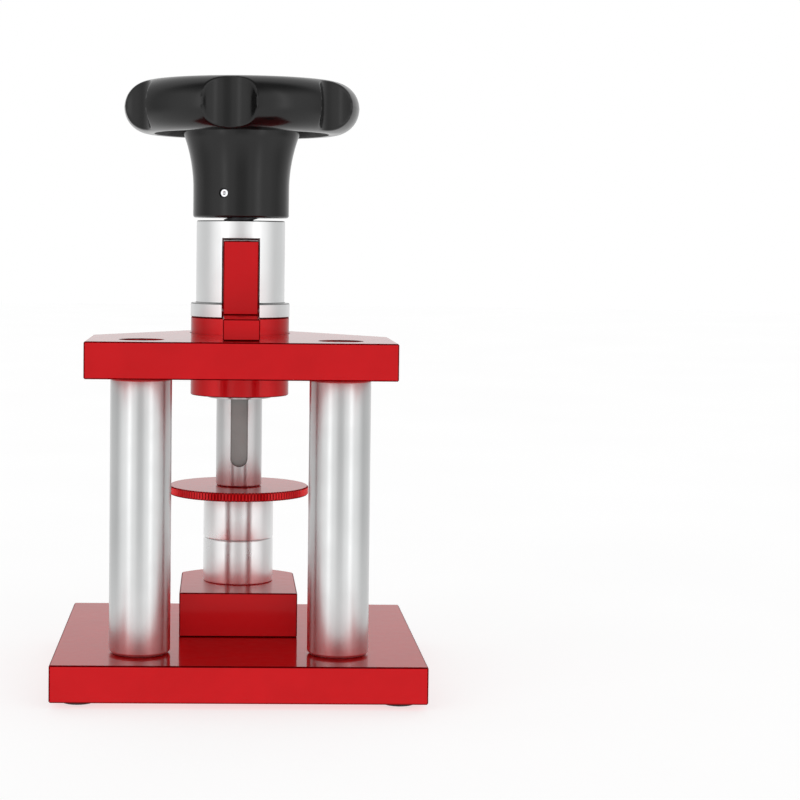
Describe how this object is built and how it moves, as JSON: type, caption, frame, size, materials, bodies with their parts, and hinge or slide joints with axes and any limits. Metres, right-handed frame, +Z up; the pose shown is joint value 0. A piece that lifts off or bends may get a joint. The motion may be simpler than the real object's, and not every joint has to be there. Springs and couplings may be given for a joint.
{
  "type": "hand screw press",
  "caption": "Two-column bench press: a scooped handwheel and screw drive a keyed ram down onto matching round die holders, with a quick-release lever.",
  "frame": {"origin": "under the centre of the whole outline, on the table, at the bottoms of the feet", "axes": "+Z up along the ram; +X to the right seen from the column side; +Y from the columns to the ram"},
  "size_m": [0.12, 0.1158, 0.2034],
  "materials": {
    "red_anodised": "satin red anodised aluminium",
    "silver_aluminium": "matt natural aluminium",
    "polished_steel": "lengthwise brushed bright steel",
    "ground_steel": "turned and ground steel",
    "dark_steel": "blackened steel, lightly oiled",
    "zinc_steel": "bright plated steel",
    "bronze": "bearing bronze",
    "black_plastic": "gloss black moulded plastic",
    "foot_rubber": "matt dark rubber"
  },
  "bodies": {
    "root": {"base_plate": "red_anodised", "base_feet": "foot_rubber", "base_column_screws": "dark_steel", "anvil_screws": "dark_steel", "left_column": "polished_steel", "right_column": "polished_steel", "top_plate": "red_anodised", "top_column_screws": "dark_steel", "anvil_block": "red_anodised", "lower_holder_stud": "zinc_steel", "lower_die_holder": "ground_steel", "guide_bush": "red_anodised", "bush_lock_screw": "dark_steel", "bush_liner": "ground_steel", "guide_key": "zinc_steel", "nut_sleeve": "silver_aluminium", "nut_cap": "zinc_steel", "lever_pivot_pin": "zinc_steel"},
    "ram": {"ram": "ground_steel", "thrust_ball": "zinc_steel", "screw_retaining_pins": "zinc_steel", "holder_retaining_screw": "dark_steel"},
    "upper_die": {"upper_die_holder": "ground_steel", "knurled_disc": "red_anodised"},
    "wheel": {"lead_screw": "dark_steel", "wheel_hub_insert": "zinc_steel", "handwheel": "black_plastic", "wheel_set_screw": "zinc_steel", "wheel_washer": "zinc_steel", "wheel_top_screw": "zinc_steel"},
    "lever": {"release_lever": "red_anodised", "lever_adjusting_screw": "dark_steel"},
    "nut": {"release_nut": "bronze", "nut_push_pin": "zinc_steel", "nut_springs": "zinc_steel"}
  },
  "joints": [
    {"name": "ram_slide", "type": "slide", "parent": "root", "child": "ram", "axis": [0, 0, 1], "range_m": [0, 0.025]},
    {"name": "wheel_turn", "type": "hinge", "parent": "ram", "child": "wheel", "pos_m": [0, 0.01714, 0.17], "axis": [0, 0, 1], "range_deg": [0, 3000]},
    {"name": "upper_die_turn", "type": "hinge", "parent": "ram", "child": "upper_die", "pos_m": [0, 0.01714, 0.06], "axis": [0, 0, 1], "continuous": true},
    {"name": "lever_swing", "type": "hinge", "parent": "root", "child": "lever", "pos_m": [0, 0.00413, 0.1241], "axis": [-1, 0, 0], "range_deg": [0, 5.5]},
    {"name": "nut_slide", "type": "slide", "parent": "root", "child": "nut", "axis": [0, 1, 0], "range_m": [0, 0.00184], "stiffness_N_per_m": 1500, "springref_m": -0.001}
  ],
  "couplings": [
    {"joint": "wheel_turn", "follows": "ram_slide", "rad_per_m": 2094.4},
    {"joint": "lever_swing", "follows": "nut_slide", "rad_per_m": 52.08}
  ]
}
